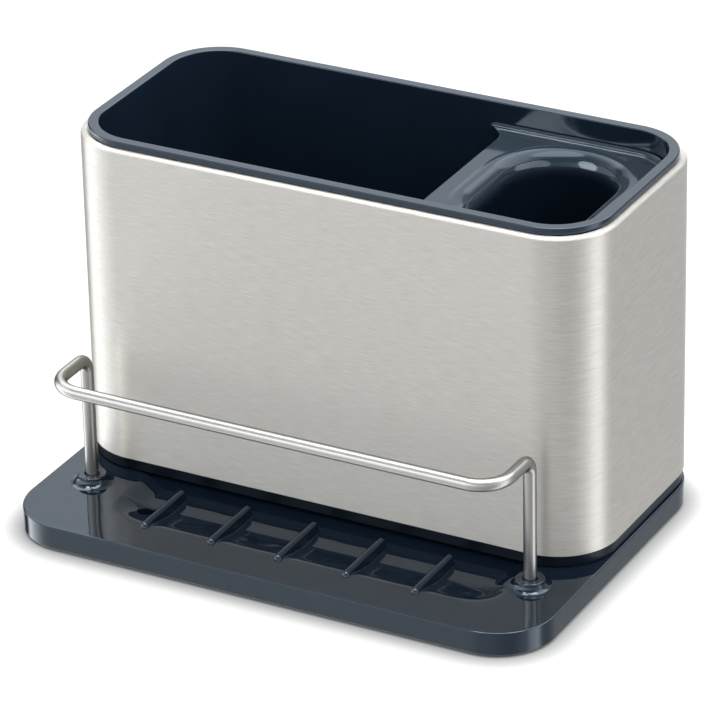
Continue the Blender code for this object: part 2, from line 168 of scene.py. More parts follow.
# Where lines of corners run: shares of a rounding, or distances in from an outline
BORE_SHARES = (0.1, 0.25, 0.5, 0.75, 1.0)
BOSS_EDGE_SHARES = (1.0, 0.75, 0.5, 0.25, 0.1, 0.02)
BOSS_FLARE_SHARES = (0.01, 0.03, 0.08, 0.16, 0.28, 0.42, 0.6, 0.8, 1.0)
MOUTH_SHARES = (0.0, 0.1, 0.2, 0.3, 0.4, 0.5, 0.6, 0.69, 0.77, 0.84, 0.89, 0.93, 0.96, 0.975)
COLLAR_SHARES = (0.0, 0.1, 0.22, 0.35, 0.5, 0.65, 0.78, 0.9, 1.0)
UPSTAND_EDGE_SHARES = (0.08, 0.25, 0.5, 0.75, 1.0)
UPSTAND_FOOT_SHARES = (0.01, 0.04, 0.1, 0.2, 0.35, 0.55, 0.8, 1.0)
UPSTAND_FOOT_STEP = 0.0001
DRAIN_INSETS = (-0.0002, -0.0006)
RIB_INSETS = (
    -0.0009, -0.0006, -0.0004, -0.00028, -0.0002, -0.00012,
    0.0, 0.0001, 0.00025, 0.00045, 0.0007, 0.001,
)
ISLAND_INSETS = (-0.001, -0.00088, -0.0006, -0.0003, 0.0, 0.0001, 0.0003, 0.0006)
UNDER_POST_INSETS = (0.0003, 0.0001, 0.0, -0.0001, -0.0003, -0.0006)
CREASE_OFFSETS = (-0.0002, -CREASE, CREASE, 0.0002)

# Materials
NOISE_SPAN = (0.3, 0.7)  # The values between which most of a noise lies
CLOUD_TONE = 0.1
CLOUD_GLOSS = 0.15
GRAIN_HEIGHT = 0.0001
RIPPLE_HEIGHT = 0.0005
POLISHED = 0.5
DRAIN_DULL_REACH = 1.02  # How far the drain's dull wall reaches, in radii of the drain
PAINTED_SHADE_DEPTHS = (0.009, 0.002)  # Between these depths in the cup, the well's painted darker shade ends
PLASTIC_SHEEN = (0.8, 0.92, 1.0, 1.0)
WIRE_SHEEN = (0.4, 0.38, 0.36, 1.0)
WHITE = (1.0, 1.0, 1.0, 1.0)

# The camera. Its sensor and lens are in millimetres, and its place is in metres
SENSOR_WIDTH = 36.0
LENS = 244.36
CLIP_START = 0.05
CAMERA_PLACE = Vector((0.718328, -1.314542, 0.817397))
CAMERA_RIGHT = Vector((0.882606, 0.469680, -0.020168))
CAMERA_UP = Vector((-0.195856, 0.406367, 0.892472))
CAMERA_FORWARD = Vector((-0.427372, 0.783751, -0.450652))

# The room that reflections see, as levels by bearing. Bearings are in degrees from straight ahead of
# the front, positive towards the cup's end
ROOM_BELOW = (
    (-180, 0.8), (-150, 0.8), (-128, 0.55), (-120, 0.08), (-107, 0.12), (-101, 2.2), (-94, 3.7), (-80, 3.0),
    (-69, 2.2), (-55, 1.3), (-42, 1.05), (-31, 1.02), (-25, 0.95), (-8, 0.76), (12, 0.7), (32, 0.54),
    (54, 0.48), (70, 0.7), (80, 0.95), (90, 2.0), (103, 2.5), (113, 0.65), (122, 0.4), (150, 0.56),
)
ROOM_ABOVE = (
    (-180, 1.4), (-150, 1.4), (-128, 0.9), (-118, 0.15), (-108, 0.2), (-98, 1.2), (-86, 1.9), (-70, 2.2),
    (-45, 2.6), (-25, 2.5), (0, 1.55), (30, 0.95), (60, 0.75), (80, 0.9), (90, 1.6), (104, 1.7),
    (114, 0.5), (130, 0.6),
)
ROOM_HIGH = (
    (-180, 3.8), (-120, 3.6), (-95, 1.2), (-60, 0.3), (50, 0.3), (90, 1.6), (110, 3.4), (140, 3.8),
)
ROOM_TINT = (0.94, 1.0, 1.07)
FLOOR_TINT = (0.96, 1.0, 1.06)
ROOM_HORIZON = (-0.1, 0.25)
ROOM_CEILING = (0.5, 0.62)
ROOM_TOP = (0.92, 0.945)
TOP_LEVEL = 7.0
ROOM_PEAK = 4.0
ROOM_FILL = 0.72

# The floor and the lamps
FLOOR_SIZE = 4.0
FLOOR_ALBEDO = 0.42
FLOOR_ROUGHNESS = 0.9
FLOOR_GLOW = 0.82
CONTACT_REACH = 0.01
CONTACT_DEPTH = 2.1
CONTACT_SAMPLES = 16
AIM_HEIGHT = 0.08
OVERHEAD_DISTANCE = 1.6
HIGHLIGHT_DISTANCE = 1.5
BACK_CARD_AWAY = WIRE_DIAMETER * 0.6
BACK_CARD_WIDTH = WIRE_DIAMETER * 1.2
SIDE_CARD_AWAY = 0.02
SIDE_CARD_AHEAD = 0.004
SIDE_CARD_WIDTH = 0.014

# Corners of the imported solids
tray_low, tray_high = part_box("base_tray")
sleeve_low, sleeve_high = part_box("steel_sleeve")
ring_low, ring_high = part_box("sleeve_base_ring")
liner_low, liner_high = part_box("caddy_liner")
cup_low, cup_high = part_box("brush_cup")
wire_low, wire_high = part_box("wire_rail")

# Heights
tray_top = tray_low.z + TRAY_WALL_HEIGHT
recess_top = tray_low.z + RECESS_DEPTH
foot_seat = PAD_THICKNESS + SEAT_GAP
rib_top = tray_top + RIB_RISE
boss_top = tray_top + BOSS_RISE
rim_bottom = liner_high.z - RIM_THICKNESS
liner_floor = liner_low.z + LINER_WALL
cup_top = cup_high.z + CUP_LIFT
cup_ledge = cup_top - CUP_UPSTAND_HEIGHT
cup_under = cup_ledge - CUP_LEDGE_THICKNESS
collar_top = cup_ledge + CUP_COLLAR_RISE

# Boxes in plan, as (left, right, front, back)
tray_plan = (tray_low.x, tray_high.x, tray_low.y, tray_high.y)
sleeve_plan = (sleeve_low.x, sleeve_high.x, sleeve_low.y, sleeve_high.y)
rim_plan = (liner_low.x, liner_high.x, liner_low.y, liner_high.y)
island_plan = (
    sleeve_low.x + ISLAND_INSET,
    sleeve_high.x - ISLAND_INSET,
    sleeve_low.y + ISLAND_INSET,
    sleeve_high.y - ISLAND_INSET,
)
mouth_right = cup_high.x - CUP_MOUTH_SIDE_MARGIN
mouth_plan = (
    mouth_right - 2 * CUP_MOUTH_RADIUS,
    mouth_right,
    cup_low.y + CUP_MOUTH_END_MARGIN,
    cup_high.y - CUP_MOUTH_END_MARGIN,
)

# Places in plan
post_x = wire_high.x - WIRE_DIAMETER / 2
post_y = wire_high.y - WIRE_DIAMETER / 2
rail_y = wire_low.y + WIRE_DIAMETER / 2
rail_z = wire_high.z - WIRE_DIAMETER / 2
rib_front = tray_low.y + RIB_FRONT_MARGIN
rib_back = sleeve_low.y - RIB_BACK_MARGIN
rib_pitch = 2 * (post_x - RIB_POST_GAP) / (RIB_COUNT - 1)
rib_places = [rib_pitch * (index - (RIB_COUNT - 1) / 2) for index in range(RIB_COUNT)]
gutter_left = tray_low.x + GUTTER_LEFT_MARGIN
gutter_right = tray_high.x - GUTTER_RIGHT_MARGIN
gutter_front = tray_low.y + GUTTER_FRONT_MARGIN
gutter_valley = tray_low.y + GUTTER_VALLEY_MARGIN
gutter_plan = (gutter_left, gutter_right, gutter_front - GUTTER_CORNER / 4, sleeve_high.y)
drain_centre = (
    rib_places[0] - RIB_WIDTH / 2 - DRAIN_RIB_GAP - DRAIN_RADIUS,
    rib_front + DRAIN_FROM_RIB_FRONT,
)
boss_centres = [(-post_x, post_y), (post_x, post_y)]
foot_centres = [
    (side * (tray_high.x - FOOT_CORNER_INSET), end * (tray_high.y - FOOT_CORNER_INSET))
    for side in (-1, 1)
    for end in (-1, 1)
]

# Round posts under the tray, as (centre, radius, drop)
under_posts = [(centre, BOSS_RADIUS, BOSS_UNDERSIDE_DROP) for centre in boss_centres]
under_posts += [(centre, FOOT_SEAT_RADIUS, recess_top - foot_seat) for centre in foot_centres]

# The cup in plan. Its box runs on to the left, where the cup is open
cup_left = cup_low.x + CUP_EAR
cup_plan = (cup_low.x - CUP_CORNER_RADIUS * 2, cup_high.x, cup_low.y, cup_high.y)


# Outlines and profiles

def arc(centre, radius, start, end, steps):
    """Points on a circle, from one angle to another in degrees."""
    turns = [math.radians(start + (end - start) * step / steps) for step in range(steps + 1)]
    x, y = centre
    return [(x + radius * math.cos(turn), y + radius * math.sin(turn)) for turn in turns]


def circle(centre, radius, steps=CORNER_STEPS * 2):
    return arc(centre, radius, 0, 360, steps)[:-1]


def rounded_box(box, radii, inset=0.0, steps=CORNER_STEPS):
    """A rounded rectangle, counterclockwise. radii are those of the front and the back corners."""
    left, right, front, back = (box[0] + inset, box[1] - inset, box[2] + inset, box[3] - inset)
    near, far = (max(radius - inset, SMALLEST_RADIUS) for radius in radii)
    points = arc((left + near, front + near), near, 180, 270, steps)
    points += arc((right - near, front + near), near, 270, 360, steps)
    points += arc((right - far, back - far), far, 0, 90, steps)
    points += arc((left + far, back - far), far, 90, 180, steps)
    return points


def spaced(points, pitch):
    """A closed outline with extra points along its long sides."""
    result = []
    for start, end in zip(points, points[1:] + points[:1]):
        parts = max(1, round(math.dist(start, end) / pitch))
        for part in range(parts):
            result.append(tuple(a + (b - a) * part / parts for a, b in zip(start, end)))
    return result


def filleted(corners):
    """An outline or profile whose corners, given as (a, b, radius), are rounded."""
    points = []
    for index, (a, b, radius) in enumerate(corners):
        if radius == 0:
            points.append((a, b))
            continue
        here = Vector((a, b))
        before = (Vector(corners[index - 1][:2]) - here).normalized()
        after = (Vector(corners[(index + 1) % len(corners)][:2]) - here).normalized()
        half = before.angle(after) / 2
        middle = here + (before + after).normalized() * radius / math.sin(half)
        start = here + before * radius / math.tan(half) - middle
        end = here + after * radius / math.tan(half) - middle
        sweep = start.angle(end)
        for step in range(FILLET_STEPS + 1):
            share = step / FILLET_STEPS
            spoke = start * math.sin((1 - share) * sweep) + end * math.sin(share * sweep)
            points.append(tuple(middle + spoke / math.sin(sweep)))
    return points


def at_height(outline, z):
    return [(x, y, z) for x, y in outline]


def lifted(outline, height):
    """The points of an outline at the height that a formula gives for their places."""
    x, y = (np.array(axis) for axis in zip(*outline))
    return list(zip(x, y, height(x, y)))


# Height fields

def smooth_max(a, b, blend):
    """The larger of two values, with a fillet where they are nearly the same."""
    near = np.clip(blend - np.abs(a - b), 0, None) / blend
    return np.maximum(a, b) + near * near * blend / 4


def depth_inside(x, y, box, radius):
    """How far a point lies inside a rounded rectangle. It is negative outside."""
    left, right, front, back = box
    across = np.abs(x - (left + right) / 2) - ((right - left) / 2 - radius)
    along = np.abs(y - (front + back) / 2) - ((back - front) / 2 - radius)
    beyond = np.hypot(np.clip(across, 0, None), np.clip(along, 0, None))
    return radius - beyond - np.minimum(np.maximum(across, along), 0)


def crown(depth, top, radius):
    """Height of a step with a steep drafted wall and a round top edge, by the depth inside its outline."""
    within = np.clip(depth, 0, radius)
    edge = top - radius + np.sqrt(radius**2 - (radius - within) ** 2)
    return np.where(depth < 0, top - radius + depth * WALL_SLOPE, edge)


def rib_box(x):
    return (x - RIB_WIDTH / 2, x + RIB_WIDTH / 2, rib_front, rib_back)


def gutter_height(x, y):
    """The shelf, whose front is flat.

    Behind it a scooped ramp falls to a floor that rises a little to the back, and the ends and the places
    next to the bosses run out smoothly."""
    length = gutter_valley - gutter_front
    climb = np.clip(gutter_valley - y, 0, length)
    curve = (GUTTER_DEPTH - GUTTER_RAMP_FALL * length) / length**2
    ramp = GUTTER_DEPTH - GUTTER_RAMP_FALL * climb - curve * climb * climb
    depth = np.where(y > gutter_valley, GUTTER_DEPTH - (y - gutter_valley) * GUTTER_BACK_FALL, ramp)
    share = depth_inside(x, y, gutter_plan, GUTTER_CORNER) / GUTTER_END_RAMP
    for centre in boss_centres:
        apart = np.hypot(x - centre[0], y - centre[1]) - BOSS_RADIUS - BOSS_FLARE
        share = np.minimum(share, apart / GUTTER_BOSS_RAMP)
    share = np.clip(share, 0, 1)
    return tray_top - depth * share * share * (3 - 2 * share)


def boss_height(x, y, centre):
    """A concave flare, a round shoulder, a flat top and a round mouth."""
    r = np.hypot(x - centre[0], y - centre[1])
    foot = BOSS_RADIUS + BOSS_FLARE
    reach = np.clip(foot - r, 0, BOSS_FLARE)
    flare = tray_top + BOSS_FLARE - np.sqrt(BOSS_FLARE**2 - reach**2)
    shoulder = crown(BOSS_RADIUS - r, boss_top, BOSS_EDGE)
    outside = np.where(r > BOSS_RADIUS, flare, np.minimum(flare + BOSS_RISE, shoulder))
    mouth = crown(r - BORE_RADIUS, boss_top, BOSS_EDGE)
    boss = np.where(r < (BOSS_RADIUS + BORE_RADIUS) / 2, mouth, outside)
    return np.where(r < foot, boss, 0)


def tray_height(x, y):
    """The top of the tray at a place in plan."""
    z = gutter_height(x, y)
    for centre in boss_centres:
        z = np.maximum(z, boss_height(x, y, centre))
    for place in rib_places:
        rib = crown(depth_inside(x, y, rib_box(place), RIB_WIDTH / 2), rib_top, RIB_WIDTH / 2)
        z = smooth_max(z, rib, RIB_FILLET)
    within = depth_inside(x, y, island_plan, SLEEVE_RADIUS - ISLAND_INSET)
    return np.maximum(z, crown(within, tray_high.z, ISLAND_EDGE))


def tray_underside(x, y):
    """The ceiling of the hollow under the tray, with the ends of the bosses and the seats of the feet."""
    drop = np.zeros_like(x)
    for centre, radius, depth in under_posts:
        inside = radius - np.hypot(x - centre[0], y - centre[1])
        drop = smooth_max(drop, crown(inside, depth, UNDERSIDE_EDGE), UNDERSIDE_FILLET)
    return recess_top - drop


def cup_edge_points():
    """The cup's ledge in plan, counterclockwise from its front right corner.

    It has an ear at each left corner."""
    radius = CUP_CORNER_RADIUS
    front, back, right = cup_low.y, cup_high.y, cup_high.x
    points = arc((right - radius, front + radius), radius, 270, 360, CORNER_STEPS)
    points += arc((right - radius, back - radius), radius, 0, 90, CORNER_STEPS)
    points += [(cup_left, back), (cup_low.x + CUP_EDGE, back)] + left_edge_points()
    return points + [(cup_low.x + CUP_EDGE, front), (cup_left, front)]


def left_edge_points():
    """The ledge's free edge in plan, from the back ear's tip to the front ear's tip."""
    tip = cup_low.x
    low = cup_low.y + CUP_EAR_TIP
    high = cup_high.y - CUP_EAR_TIP
    points = [(tip, cup_high.y - CUP_EDGE)]
    points += arc((tip, high - CUP_EAR), CUP_EAR, 90, 0, FILLET_STEPS * 2)
    points += arc((tip, low + CUP_EAR), CUP_EAR, 0, -90, FILLET_STEPS * 2)
    return points + [(tip, cup_low.y + CUP_EDGE)]


def distance_to(x, y, points):
    """Distance from each place to an open line of points."""
    nearest = np.full_like(x, np.inf)
    for (ax, ay), (bx, by) in zip(points, points[1:]):
        run, rise = bx - ax, by - ay
        share = np.clip(((x - ax) * run + (y - ay) * rise) / (run**2 + rise**2), 0, 1)
        nearest = np.minimum(nearest, np.hypot(x - ax - share * run, y - ay - share * rise))
    return nearest


def cup_underside(x, y):
    """The ledge's underside, which sweeps up towards the tips of the ears."""
    radius = CUP_EAR - SEAT_GAP
    reach = np.clip(np.abs(x - cup_low.x), 0, radius)
    ear = cup_top - CUP_EAR_TIP - CUP_EAR + np.sqrt(radius**2 - reach**2)
    return smooth_max(np.full_like(x, cup_under), ear, CUP_UNDER_FILLET)


def mouth_depth(x, y):
    return depth_inside(x, y, mouth_plan, CUP_MOUTH_RADIUS - CUP_MOUTH_SLACK)


def cup_height(x, y):
    """The top of the cup's ledge, with its upstand, its raised collar and its mouth's round lead-in."""
    inside = depth_inside(x, y, cup_plan, CUP_CORNER_RADIUS)
    reach = np.clip(CUP_UPSTAND_THICKNESS + CUP_FILLET - inside, 0, CUP_FILLET)
    fillet = CUP_FILLET - np.sqrt(CUP_FILLET**2 - reach**2)
    depth = mouth_depth(x, y)
    share = np.clip((depth + CUP_COLLAR_WIDTH) / CUP_COLLAR_SLOPE, 0, 1)
    collar = CUP_COLLAR_RISE * share * share * (3 - 2 * share)
    free = distance_to(x, y, left_edge_points())
    ledge = crown(free, cup_ledge, CUP_EDGE) + fillet + collar
    ledge = smooth_max(ledge, cup_underside(x, y) + CUP_EDGE, CUP_UNDER_FILLET)
    outer = crown(inside, cup_top, CUP_EDGE / 4)
    inner = crown(CUP_UPSTAND_THICKNESS - inside, cup_top, CUP_EDGE)
    upstand = np.minimum(np.minimum(outer, inner), crown(x - cup_low.x, cup_top, CUP_EDGE))
    upstand = upstand - CUP_CHAMFER_SLOPE * np.clip(inside, 0, CUP_CHAMFER)
    z = np.maximum(ledge, upstand)
    fall = np.clip(depth, 0, CUP_MOUTH_ROUND)
    roll = collar_top - CUP_MOUTH_FALL * (1 - np.sqrt(1 - (fall / CUP_MOUTH_ROUND) ** 2))
    return np.where(depth > 0, roll, z)


# Mesh building

def loft(mesh, rings):
    """Joins rings of equal length with quads. Rings that rise on the outside face outwards."""
    loops = [[mesh.verts.new(point) for point in ring] for ring in rings]
    for lower, upper in zip(loops, loops[1:]):
        for index in range(len(lower)):
            after = (index + 1) % len(lower)
            mesh.faces.new((lower[index], lower[after], upper[after], upper[index]))
    return loops


def stack(box, radii, profile):
    """Rings of a rounded rectangle, one for each (inset, height) of the profile."""
    return [at_height(rounded_box(box, radii, inset), z) for inset, z in profile]


def points_inside(points, outline):
    x, y = points[:, 0], points[:, 1]
    within = np.zeros(len(points), bool)
    for (ax, ay), (bx, by) in zip(outline, outline[1:] + outline[:1]):
        if ay != by:
            within ^= ((ay > y) != (by > y)) & (x < ax + (y - ay) * (bx - ax) / (by - ay))
    return within


def height_field(mesh, layer, number, height, outer, holes, loops, spots=(), lines=(), up=True):
    """Fills outer, less the holes, with triangles whose corners lie at the height of their place.

    The triangles' sides follow the closed loops and the open lines, and they take in the spots."""
    corners = []
    edges = []
    for loop in (outer, *holes, *loops):
        first = len(corners)
        corners += [Vector(point) for point in loop]
        edges += [(first + index, first + (index + 1) % len(loop)) for index in range(len(loop))]
    for line in lines:
        edges += [(len(corners) + index, len(corners) + index + 1) for index in range(len(line) - 1)]
        corners += [Vector(point) for point in line]
    corners += [Vector(spot) for spot in spots]
    flat, _, faces, *_ = delaunay_2d_cdt(corners, edges, [], 0, SAME_POINT)
    flat = np.array([tuple(point) for point in flat])
    faces = np.array(faces)
    middles = flat[faces].mean(axis=1)
    kept = points_inside(middles, list(outer))
    for hole in holes:
        kept &= ~points_inside(middles, list(hole))
    sides = flat[faces[:, 1:]] - flat[faces[:, :1]]
    turn = sides[:, 0, 0] * sides[:, 1, 1] - sides[:, 0, 1] * sides[:, 1, 0]
    kept &= np.abs(turn) > SLIVER_AREA
    flip = (turn < 0) == up
    heights = height(flat[:, 0], flat[:, 1])
    used = {}
    for face, turned in zip(faces[kept], flip[kept]):
        for index in face:
            if index not in used:
                used[index] = mesh.verts.new((*flat[index], heights[index]))
        made = mesh.faces.new([used[index] for index in (face[::-1] if turned else face)])
        made[layer] = number


def whole_numbers(rows, key):
    """One whole number from each row of mesh data."""
    values = np.zeros(len(rows), np.int32)
    rows.foreach_get(key, values)
    return values


def vectors(rows, key):
    """One vector from each row of mesh data."""
    values = np.zeros(len(rows) * 3)
    rows.foreach_get(key, values)
    return values.reshape(-1, 3)


def true_normals(data, surfaces):
    """Gives the faces of each height field the normals of its formula."""
    numbers = whole_numbers(data.attributes["surface"].data, "value")
    numbers = np.repeat(numbers, whole_numbers(data.polygons, "loop_total"))
    normals = vectors(data.corner_normals, "vector")
    places = vectors(data.vertices, "co")[whole_numbers(data.loops, "vertex_index")]
    step = SLOPE_STEP
    for number, (height, up) in enumerate(surfaces, 1):
        chosen = numbers == number
        x, y = places[chosen, 0], places[chosen, 1]
        slope_x = (height(x + step, y) - height(x - step, y)) / (2 * step)
        slope_y = (height(x, y + step) - height(x, y - step)) / (2 * step)
        normal = np.stack([-slope_x, -slope_y, np.ones_like(x)], axis=1)
        normal /= np.linalg.norm(normal, axis=1, keepdims=True)
        normals[chosen] = normal if up else -normal
    data.normals_split_custom_set(normals.tolist())
    data.attributes.remove(data.attributes["surface"])


def linked(name, data):
    """A new object in the scene."""
    made = bpy.data.objects.new(name, data)
    bpy.context.scene.collection.objects.link(made)
    return made


def finished(name, mesh_data, finish, body, replaced, surfaces=()):
    """Smooths a mesh by its larger faces, gives it its material and hands it to the frame."""
    draft = linked(name + "_draft", mesh_data)
    mesh_data.shade_smooth()
    mesh_data.set_sharp_from_angle(angle=math.radians(SHARP_ANGLE))
    weighting = draft.modifiers.new("by_area", "WEIGHTED_NORMAL")
    weighting.keep_sharp = True
    weighting.weight = NORMAL_WEIGHT
    graph = bpy.context.evaluated_depsgraph_get()
    data = bpy.data.meshes.new_from_object(draft.evaluated_get(graph))
    bpy.data.objects.remove(draft, do_unlink=True)
    if surfaces:
        true_normals(data, surfaces)
    data.materials.clear()
    data.materials.append(finish)
    piece = linked(name, data)
    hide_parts(replaced)
    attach(piece, body)
    return piece


def mesh_of(name, mesh):
    bmesh.ops.remove_doubles(mesh, verts=mesh.verts, dist=WELD_DISTANCE)
    data = bpy.data.meshes.new(name)
    mesh.to_mesh(data)
    mesh.free()
    return data


# Node trees

def node_tree(name, sockets):
    """A tree with a geometry output and the named inputs, each given as (name, type, value)."""
    tree = bpy.data.node_groups.new(name, "GeometryNodeTree")
    tree.interface.new_socket("Geometry", in_out="OUTPUT", socket_type="NodeSocketGeometry")
    tree.interface.new_socket("Geometry", in_out="INPUT", socket_type="NodeSocketGeometry")
    for label, kind, value in sockets:
        socket = tree.interface.new_socket(label, in_out="INPUT", socket_type="NodeSocket" + kind)
        if value is not None:
            socket.default_value = value
    return tree


def feed(tree, node, inputs):
    """Gives a node's inputs values, or links them to the outputs of other nodes."""
    for key, value in inputs.items():
        if isinstance(value, bpy.types.NodeSocket):
            tree.links.new(value, node.inputs[key])
        else:
            node.inputs[key].default_value = value


def add_node(tree, kind, settings=None, inputs=None):
    node = tree.nodes.new(kind)
    for key, value in (settings or {}).items():
        setattr(node, key, value)
    feed(tree, node, inputs or {})
    return node


def maths(tree, operation, first, second):
    return add_node(tree, "ShaderNodeMath", {"operation": operation}, {0: first, 1: second}).outputs[0]


def vector_maths(tree, operation, first, second):
    """Both outputs of a sum on vectors, Vector and Value."""
    return add_node(tree, "ShaderNodeVectorMath", {"operation": operation}, {0: first, 1: second}).outputs


def end_tree(tree, shape, material_input):
    """Realises the shape and gives it its material."""
    real = add_node(tree, "GeometryNodeRealizeInstances", inputs={0: shape})
    painted = add_node(
        tree, "GeometryNodeSetMaterial", inputs={"Geometry": real.outputs[0], "Material": material_input}
    )
    add_node(tree, "NodeGroupOutput", inputs={0: painted.outputs[0]})


def wall_tree():
    """A wall of any section that runs round a rounded rectangle."""
    tree = node_tree(
        "wall_round_plan",
        (
            ("Width", "Float", 0.1),
            ("Depth", "Float", 0.1),
            ("Corner Radius", "Float", 0.01),
            ("Corner Steps", "Int", CORNER_STEPS),
            ("Centre", "Vector", None),
            ("Section", "Object", None),
            ("Material", "Material", None),
        ),
    )
    given = tree.nodes.new("NodeGroupInput").outputs
    frame_curve = add_node(
        tree,
        "GeometryNodeCurvePrimitiveQuadrilateral",
        {"mode": "RECTANGLE"},
        {"Width": given["Width"], "Height": given["Depth"]},
    )
    rounded = add_node(
        tree,
        "GeometryNodeFilletCurve",
        {"mode": "POLY"},
        {"Curve": frame_curve.outputs[0], "Count": given["Corner Steps"], "Radius": given["Corner Radius"]},
    )
    upright = add_node(
        tree, "GeometryNodeSetCurveNormal", {"mode": "Z_UP"}, {"Curve": rounded.outputs[0]}
    )
    section = add_node(tree, "GeometryNodeObjectInfo", inputs={"Object": given["Section"]})
    swept = add_node(
        tree,
        "GeometryNodeCurveToMesh",
        inputs={"Curve": upright.outputs[0], "Profile Curve": section.outputs["Geometry"]},
    )
    placed = add_node(
        tree,
        "GeometryNodeTransform",
        inputs={"Geometry": swept.outputs[0], "Translation": given["Centre"]},
    )
    end_tree(tree, placed.outputs[0], given["Material"])
    return tree


def wire_tree():
    """A round wire bent along a path."""
    tree = node_tree(
        "bent_wire",
        (
            ("Path", "Object", None),
            ("Wire Diameter", "Float", WIRE_DIAMETER),
            ("Sides", "Int", WIRE_SIDES),
            ("Material", "Material", None),
        ),
    )
    given = tree.nodes.new("NodeGroupInput").outputs
    path = add_node(tree, "GeometryNodeObjectInfo", inputs={"Object": given["Path"]})
    section = add_node(
        tree,
        "GeometryNodeCurvePrimitiveCircle",
        {"mode": "RADIUS"},
        {"Resolution": given["Sides"], "Radius": maths(tree, "MULTIPLY", given["Wire Diameter"], 0.5)},
    )
    swept = add_node(
        tree,
        "GeometryNodeCurveToMesh",
        inputs={
            "Curve": path.outputs["Geometry"],
            "Profile Curve": section.outputs[0],
            "Fill Caps": True,
        },
    )
    end_tree(tree, swept.outputs[0], given["Material"])
    return tree


def grown(name, tree, values):
    """The mesh that a node tree makes with these values."""
    holder = linked(name + "_holder", bpy.data.meshes.new(name + "_holder"))
    modifier = holder.modifiers.new("shape", "NODES")
    modifier.node_group = tree
    for item in tree.interface.items_tree:
        if item.in_out == "INPUT" and item.name in values:
            modifier[item.identifier] = values[item.name]
    graph = bpy.context.evaluated_depsgraph_get()
    graph.update()
    data = bpy.data.meshes.new_from_object(holder.evaluated_get(graph))
    bpy.data.objects.remove(holder, do_unlink=True)
    return data


def line_object(name, points, closed):
    """A polyline that a node tree reads. It isn't linked to the scene, so it never shows."""
    curve = bpy.data.curves.new(name, "CURVE")
    curve.dimensions = "3D"
    spline = curve.splines.new("POLY")
    spline.points.add(len(points) - 1)
    for point, place in zip(spline.points, points):
        point.co = (*place, 1.0)
    spline.use_cyclic_u = closed
    return bpy.data.objects.new(name, curve)


def wall_round_sleeve(name, corners, finish):
    """The mesh of a closed section swept round the sleeve's plan.

    The section's corners are (inset, height, radius)."""
    section = [(-inset, -height, 0.0) for inset, height in filleted(corners)]
    left, right, front, back = sleeve_plan
    values = {
        "Width": right - left,
        "Depth": back - front,
        "Corner Radius": SLEEVE_RADIUS,
        "Centre": (0.0, (front + back) / 2, 0.0),
        "Section": line_object(name + "_section", section, True),
        "Material": finish,
    }
    return grown(name, walls, values)


# Materials

def new_material(name):
    finish = bpy.data.materials.new(name)
    finish.use_nodes = True
    tree = finish.node_tree
    return finish, tree, tree.nodes["Principled BSDF"]


def own_place(tree):
    """The place on the piece, in its own coordinates."""
    return add_node(tree, "ShaderNodeTexCoord").outputs["Object"]


def noise(tree, waves, detail, roughness):
    """Noise with so many waves to the metre along each axis."""
    mapped = add_node(tree, "ShaderNodeMapping", inputs={"Vector": own_place(tree), "Scale": waves})
    made = add_node(
        tree,
        "ShaderNodeTexNoise",
        inputs={"Vector": mapped.outputs[0], "Scale": 1.0, "Detail": detail, "Roughness": roughness},
    )
    return made.outputs["Fac"]


def ranged(tree, value, span, low, high, curve="LINEAR"):
    """A value whose span, given as (low, high), is carried to two levels."""
    levels = {"Value": value, "From Min": span[0], "From Max": span[1], "To Min": low, "To Max": high}
    return add_node(tree, "ShaderNodeMapRange", {"interpolation_type": curve}, levels).outputs[0]


def spread(tree, value, low, high):
    """A noise value spread between two levels."""
    return ranged(tree, value, NOISE_SPAN, low, high)


def eased(tree, value, low, high):
    """0 up to the low value and 1 from the high value on, with a smooth step between them."""
    return ranged(tree, value, (low, high), 0.0, 1.0, "SMOOTHSTEP")


def blended(tree, share, under, over):
    """A colour between two, each a value or an output, by a share from 0 to 1."""
    node = add_node(tree, "ShaderNodeMix", {"data_type": "RGBA"}, {0: share, 6: under, 7: over})
    return node.outputs[2]


def mottled(tree, value, dark, light):
    """A colour that a noise value spreads between two."""
    return blended(tree, spread(tree, value, 0.0, 1.0), (*dark, 1.0), (*light, 1.0))


def bumped(tree, height, strength, distance=GRAIN_HEIGHT):
    node = add_node(
        tree, "ShaderNodeBump", inputs={"Height": height, "Strength": strength, "Distance": distance}
    )
    return node.outputs[0]


def brushed_steel():
    """Stainless sheet whose brushing runs level round the walls."""
    finish, tree, shader = new_material("brushed_steel")
    hair = noise(tree, (130.0, 130.0, 3000.0), detail=4.0, roughness=0.7)
    band = noise(tree, (9.0, 9.0, 130.0), detail=2.0, roughness=0.5)
    upright = add_node(tree, "ShaderNodeCombineXYZ", inputs={"X": 0.0, "Y": 0.0, "Z": 1.0})
    feed(tree, shader, {
        "Base Color": mottled(tree, hair, (0.6, 0.562, 0.502), (0.76, 0.722, 0.662)),
        "Roughness": spread(tree, band, 0.49, 0.51),
        "Normal": bumped(tree, hair, strength=0.07),
        "Tangent": upright.outputs[0],
        "Metallic": 0.7,
        "Anisotropic": 0.91,
    })
    return finish


def satin_wire():
    """Drawn stainless wire with a satin finish."""
    finish, tree, shader = new_material("satin_wire")
    grain = noise(tree, (1500.0, 1500.0, 1500.0), detail=2.0, roughness=0.6)
    feed(tree, shader, {
        "Base Color": mottled(tree, grain, (0.45, 0.43, 0.395), (0.51, 0.49, 0.455)),
        "Roughness": spread(tree, grain, 0.3, 0.34),
        "Normal": bumped(tree, grain, strength=0.02),
        "Specular Tint": WIRE_SHEEN,
        "Metallic": 1.0,
    })
    return finish


